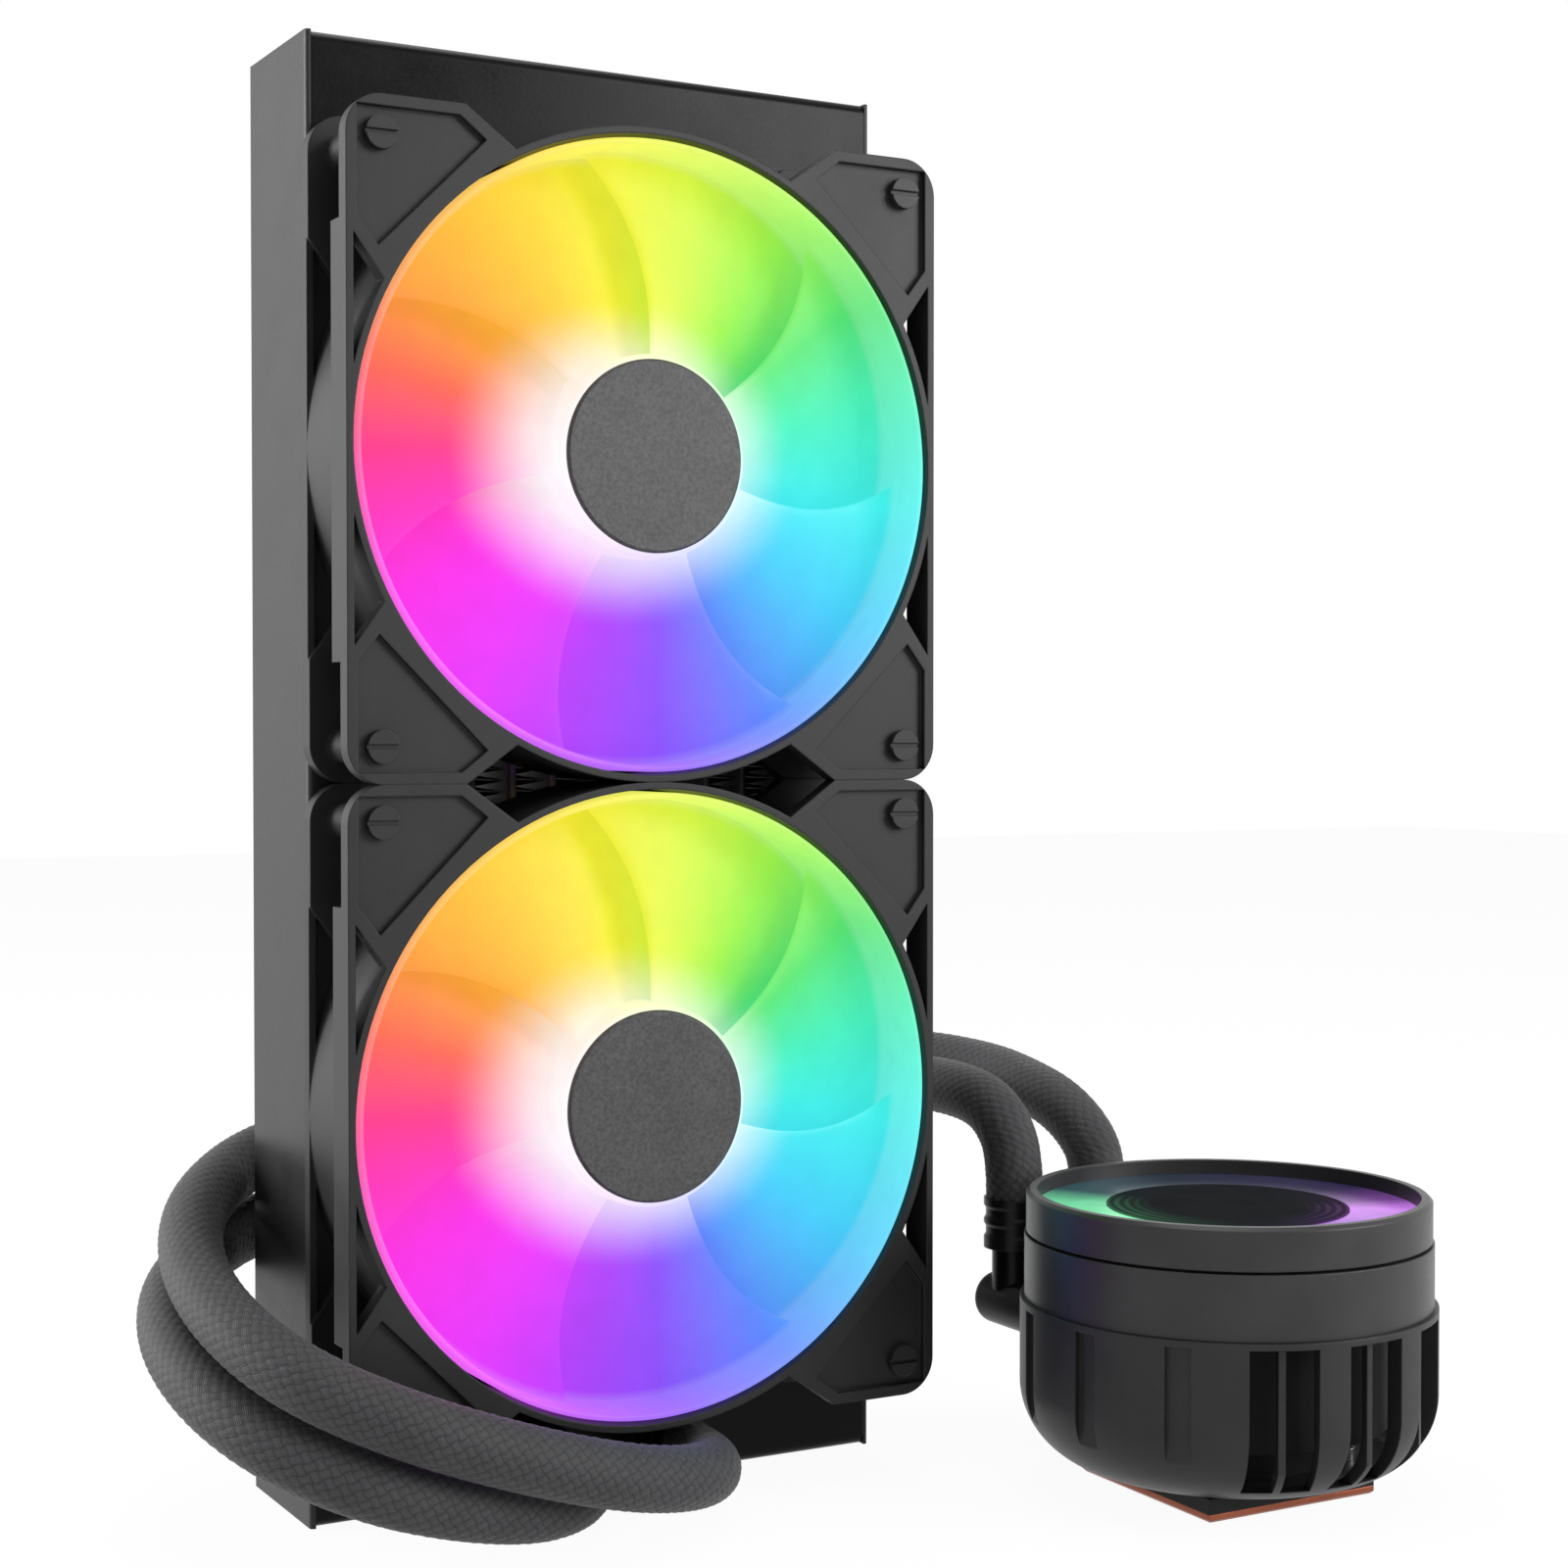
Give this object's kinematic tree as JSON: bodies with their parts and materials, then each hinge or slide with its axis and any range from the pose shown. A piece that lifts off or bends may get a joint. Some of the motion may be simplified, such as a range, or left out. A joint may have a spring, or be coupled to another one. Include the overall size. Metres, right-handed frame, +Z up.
{
  "type": "all in one cpu liquid cooler",
  "caption": "Closed-loop liquid cooler: radiator with lit ring-bladed fans, sleeved hoses and a round ribbed pump block with a copper cold plate.",
  "frame": {"origin": "centre of the radiator's foot, on the surface that the cooler stands on", "axes": "+Z up along the radiator, -Y the way the fans face, +X towards the side where the pump block stands"},
  "size_m": [0.2744, 0.1989, 0.317],
  "materials": {
    "radiator_black": "semi-gloss black paint",
    "core_black": "satin black paint on aluminium",
    "screw_black": "black zinc",
    "steel": "plain steel",
    "fitting_black": "black plated",
    "ferrule_black": "satin black crimped sleeve",
    "elbow_black": "black moulded elbow",
    "hose_sleeve": "dark grey braided sleeve over rubber",
    "copper": "machined copper",
    "seal_rubber": "black rubber",
    "pump_plastic": "glass-filled plastic",
    "impeller_plastic": "white moulded plastic",
    "copper_wire": "wound enamelled copper",
    "board_green": "printed circuit board",
    "housing_grey": "dark grey moulded plastic",
    "cap_grey": "dark grey moulded plastic",
    "cap_gloss": "dark gloss rim",
    "light_diffuser": "milky lit ring",
    "dark_mirror": "black mirror disc",
    "vent_plastic": "black moulded plastic",
    "frame_black": "black moulded frame",
    "frosted_rotor": "frosted translucent white, lit from the hub",
    "hub_grey": "grey satin disc",
    "magnet_dark": "bonded magnet",
    "bearing_brass": "sintered bronze"
  },
  "bodies": {
    "cooler": {"cap_band": "cap_grey", "cap_cup": "cap_gloss", "cold_plate": "copper", "coolant_tubes": "core_black", "fan_board_lower": "board_green", "fan_board_upper": "board_green", "fan_frame_lower": "frame_black", "fan_frame_upper": "frame_black", "fan_screws": "screw_black", "fan_stator_lower": "copper_wire", "fan_stator_upper": "copper_wire", "fin_strips": "core_black", "hose_one": "hose_sleeve", "hose_two": "hose_sleeve", "light_board": "board_green", "light_ring": "light_diffuser", "lower_header": "radiator_black", "lower_tank": "radiator_black", "mirror_disc": "dark_mirror", "plate_screws": "steel", "plate_seal": "seal_rubber", "pump_base": "pump_plastic", "pump_board": "board_green", "pump_chamber": "pump_plastic", "pump_coils": "copper_wire", "pump_elbow_one": "elbow_black", "pump_elbow_two": "elbow_black", "pump_ferrules": "ferrule_black", "pump_spindle": "steel", "radiator_ferrules": "ferrule_black", "radiator_ports": "fitting_black", "ribbed_housing": "housing_grey", "side_plate_left": "radiator_black", "side_plate_right": "radiator_black", "sleeve_bearing_lower": "bearing_brass", "sleeve_bearing_upper": "bearing_brass", "upper_header": "radiator_black", "upper_tank": "radiator_black", "vent_stator": "copper_wire"},
    "upper_fan_rotor": {"fan_rotor_upper": "frosted_rotor", "hub_disc_upper": "hub_grey", "rotor_yoke_upper": "steel", "magnet_ring_upper": "magnet_dark", "rotor_shaft_upper": "steel"},
    "lower_fan_rotor": {"fan_rotor_lower": "frosted_rotor", "hub_disc_lower": "hub_grey", "rotor_yoke_lower": "steel", "magnet_ring_lower": "magnet_dark", "rotor_shaft_lower": "steel"},
    "vent_fan_rotor": {"vent_rotor": "vent_plastic", "vent_shaft": "steel"},
    "pump_rotor": {"pump_impeller": "impeller_plastic"}
  },
  "joints": [
    {"name": "lower_fan_spin", "type": "hinge", "parent": "cooler", "child": "lower_fan_rotor", "pos_m": [0, -0.019, 0.0885], "axis": [0, -1, 0], "continuous": true},
    {"name": "upper_fan_spin", "type": "hinge", "parent": "cooler", "child": "upper_fan_rotor", "pos_m": [0, -0.019, 0.2285], "axis": [0, -1, 0], "continuous": true},
    {"name": "vent_fan_spin", "type": "hinge", "parent": "cooler", "child": "vent_fan_rotor", "pos_m": [0.123, -0.086, 0.05], "axis": [0, 0, 1], "continuous": true},
    {"name": "pump_spin", "type": "hinge", "parent": "cooler", "child": "pump_rotor", "pos_m": [0.123, -0.086, 0.02], "axis": [0, 0, 1], "continuous": true}
  ]
}
